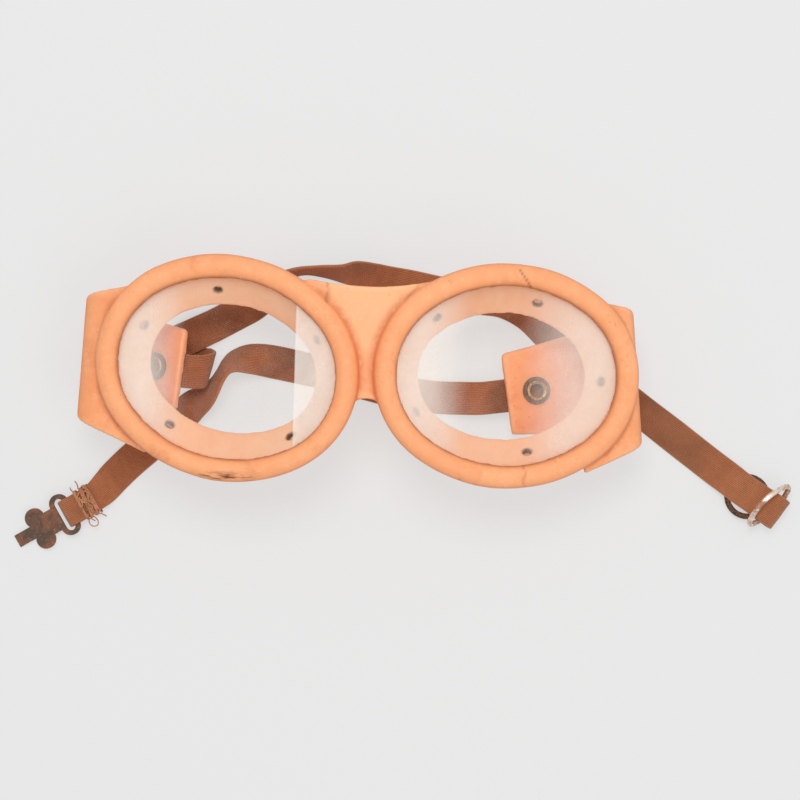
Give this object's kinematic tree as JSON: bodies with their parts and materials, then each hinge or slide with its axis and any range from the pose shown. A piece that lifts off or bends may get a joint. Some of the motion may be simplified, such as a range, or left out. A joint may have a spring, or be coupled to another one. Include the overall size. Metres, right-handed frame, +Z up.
{
  "type": "welding goggles",
  "caption": "Moulded rubber goggles with oval clear lenses in rounded rims, vented cups, folded side wings with riveted tabs, and a two-part elastic strap with hook and rings.",
  "frame": {"origin": "on the surface that the goggles lie on, under the middle of the mask's box", "axes": "+Z up, the way the lenses face; +X to the wing whose tab holds the hook strap; +Y to the brow side of the bridge"},
  "size_m": [0.2283, 0.0871, 0.0376],
  "materials": {
    "rubber": "matte, aged, with dirt in the creases",
    "lens": "clear, slightly hazed",
    "eyelet_brass": "tarnished",
    "webbing": "ribbed elastic, stained",
    "thread": "frayed cotton",
    "rusty_steel": "rusted",
    "nickel": "worn plating"
  },
  "bodies": {
    "mask": {"mask_body": "rubber", "left_lens": "lens", "right_lens": "lens", "left_eyelet": "eyelet_brass", "right_eyelet": "eyelet_brass", "left_washer": "eyelet_brass", "right_washer": "eyelet_brass", "hook_strap": "webbing", "ring_strap": "webbing", "thread_lashing": "thread"},
    "hook": {"strap_hook": "rusty_steel"},
    "adjuster": {"adjuster_ring": "nickel"},
    "end_ring": {"hook_ring": "rusty_steel"}
  },
  "joints": [
    {"name": "hook_pivot", "type": "hinge", "parent": "mask", "child": "hook", "pos_m": [-0.0843, -0.043, 0.0026], "axis": [-0.515, 0.8572, 0], "range_deg": [0, 90]},
    {"name": "adjuster_tilt", "type": "hinge", "parent": "mask", "child": "adjuster", "pos_m": [0.1223, -0.0371, 0.0027], "axis": [0.7071, 0.7071, 0], "range_deg": [-15, 30]},
    {"name": "end_ring_spin", "type": "hinge", "parent": "mask", "child": "end_ring", "pos_m": [0.11475, -0.0332, 0.00195], "axis": [-0.1422, 0.0996, 0.9848], "continuous": true}
  ]
}
